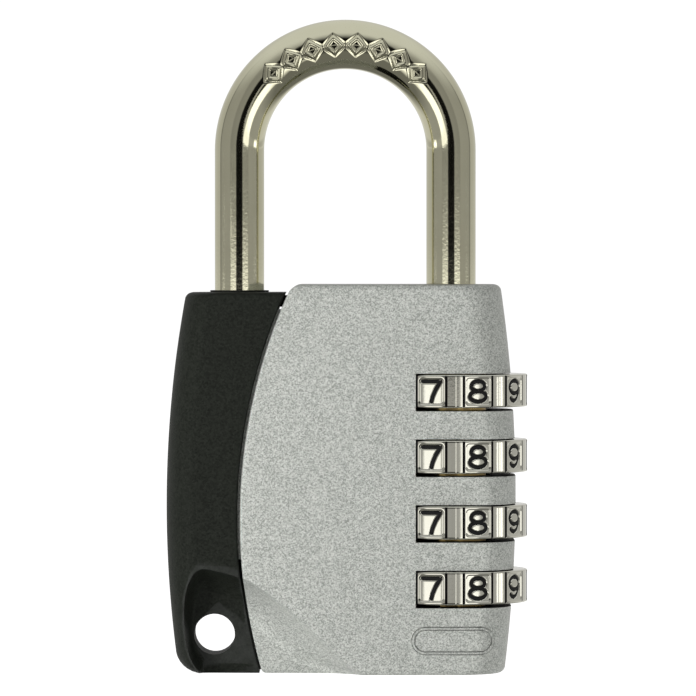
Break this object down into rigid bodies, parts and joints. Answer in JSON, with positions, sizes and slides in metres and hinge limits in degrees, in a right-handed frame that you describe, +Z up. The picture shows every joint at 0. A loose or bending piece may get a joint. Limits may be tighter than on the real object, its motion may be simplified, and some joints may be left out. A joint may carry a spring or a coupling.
{
  "type": "combination padlock",
  "caption": "Resettable combination padlock with number wheels on one side, a lifting shackle and a lanyard hole in its side cover.",
  "frame": {"origin": "under the middle of the lock on its flat bottom face", "axes": "+Z up along the shackle's legs, -Y out of the front face, +X towards the number wheels"},
  "size_m": [0.0474, 0.02, 0.0857],
  "materials": {
    "silver_paint": "grained metallic paint, satin",
    "black_plastic": "fine moulded texture",
    "nickel_plate": "polished nickel plating",
    "brass": "turned, bare",
    "spring_steel": "drawn wire and strip",
    "zinc_steel": "zinc plated",
    "grey_plastic": "moulded, satin"
  },
  "bodies": {
    "lock_body": {"body_housing": "silver_paint", "side_cover": "black_plastic", "click_spring_1": "spring_steel", "click_spring_2": "spring_steel", "click_spring_3": "spring_steel", "click_spring_4": "spring_steel", "click_spring_carrier": "grey_plastic", "shackle_spring": "spring_steel", "reset_spring": "spring_steel", "base_plate": "silver_paint", "base_plate_pin": "zinc_steel", "cover_screw": "zinc_steel"},
    "shackle_body": {"shackle": "nickel_plate", "retaining_clip": "spring_steel"},
    "wheel_1_body": {"number_wheel_1": "nickel_plate"},
    "wheel_2_body": {"number_wheel_2": "nickel_plate"},
    "wheel_3_body": {"number_wheel_3": "nickel_plate"},
    "wheel_4_body": {"number_wheel_4": "nickel_plate"},
    "sleeve_1_body": {"code_sleeve_1": "brass"},
    "sleeve_2_body": {"code_sleeve_2": "brass"},
    "sleeve_3_body": {"code_sleeve_3": "brass"},
    "sleeve_4_body": {"code_sleeve_4": "brass"},
    "washer_body": {"reset_washer": "zinc_steel"}
  },
  "joints": [
    {"name": "shackle_lift", "type": "slide", "parent": "lock_body", "child": "shackle_body", "axis": [0, 0, 1], "range_m": [0, 0.00855], "deforming": ["shackle_spring"]},
    {"name": "wheel_turn_1", "type": "hinge", "parent": "lock_body", "child": "wheel_1_body", "pos_m": [0.01365, 0, 0.037], "axis": [0, 0, 1], "continuous": true},
    {"name": "wheel_turn_2", "type": "hinge", "parent": "lock_body", "child": "wheel_2_body", "pos_m": [0.01365, 0, 0.02845], "axis": [0, 0, 1], "continuous": true},
    {"name": "wheel_turn_3", "type": "hinge", "parent": "lock_body", "child": "wheel_3_body", "pos_m": [0.01365, 0, 0.0199], "axis": [0, 0, 1], "continuous": true},
    {"name": "wheel_turn_4", "type": "hinge", "parent": "lock_body", "child": "wheel_4_body", "pos_m": [0.01365, 0, 0.01135], "axis": [0, 0, 1], "continuous": true},
    {"name": "reset_slide", "type": "slide", "parent": "lock_body", "child": "washer_body", "axis": [0, 0, 1], "range_m": [-0.0016, 0], "stiffness_N_per_m": 300, "springref_m": 0.002, "deforming": ["reset_spring"]},
    {"name": "sleeve_slide_1", "type": "slide", "parent": "wheel_1_body", "child": "sleeve_1_body", "axis": [0, 0, 1], "range_m": [-0.0016, 0]},
    {"name": "sleeve_slide_2", "type": "slide", "parent": "wheel_2_body", "child": "sleeve_2_body", "axis": [0, 0, 1], "range_m": [-0.0016, 0]},
    {"name": "sleeve_slide_3", "type": "slide", "parent": "wheel_3_body", "child": "sleeve_3_body", "axis": [0, 0, 1], "range_m": [-0.0016, 0]},
    {"name": "sleeve_slide_4", "type": "slide", "parent": "wheel_4_body", "child": "sleeve_4_body", "axis": [0, 0, 1], "range_m": [-0.0016, 0]}
  ],
  "couplings": [
    {"joint": "sleeve_slide_1", "follows": "reset_slide", "ratio": 1},
    {"joint": "sleeve_slide_2", "follows": "reset_slide", "ratio": 1},
    {"joint": "sleeve_slide_3", "follows": "reset_slide", "ratio": 1},
    {"joint": "sleeve_slide_4", "follows": "reset_slide", "ratio": 1}
  ]
}
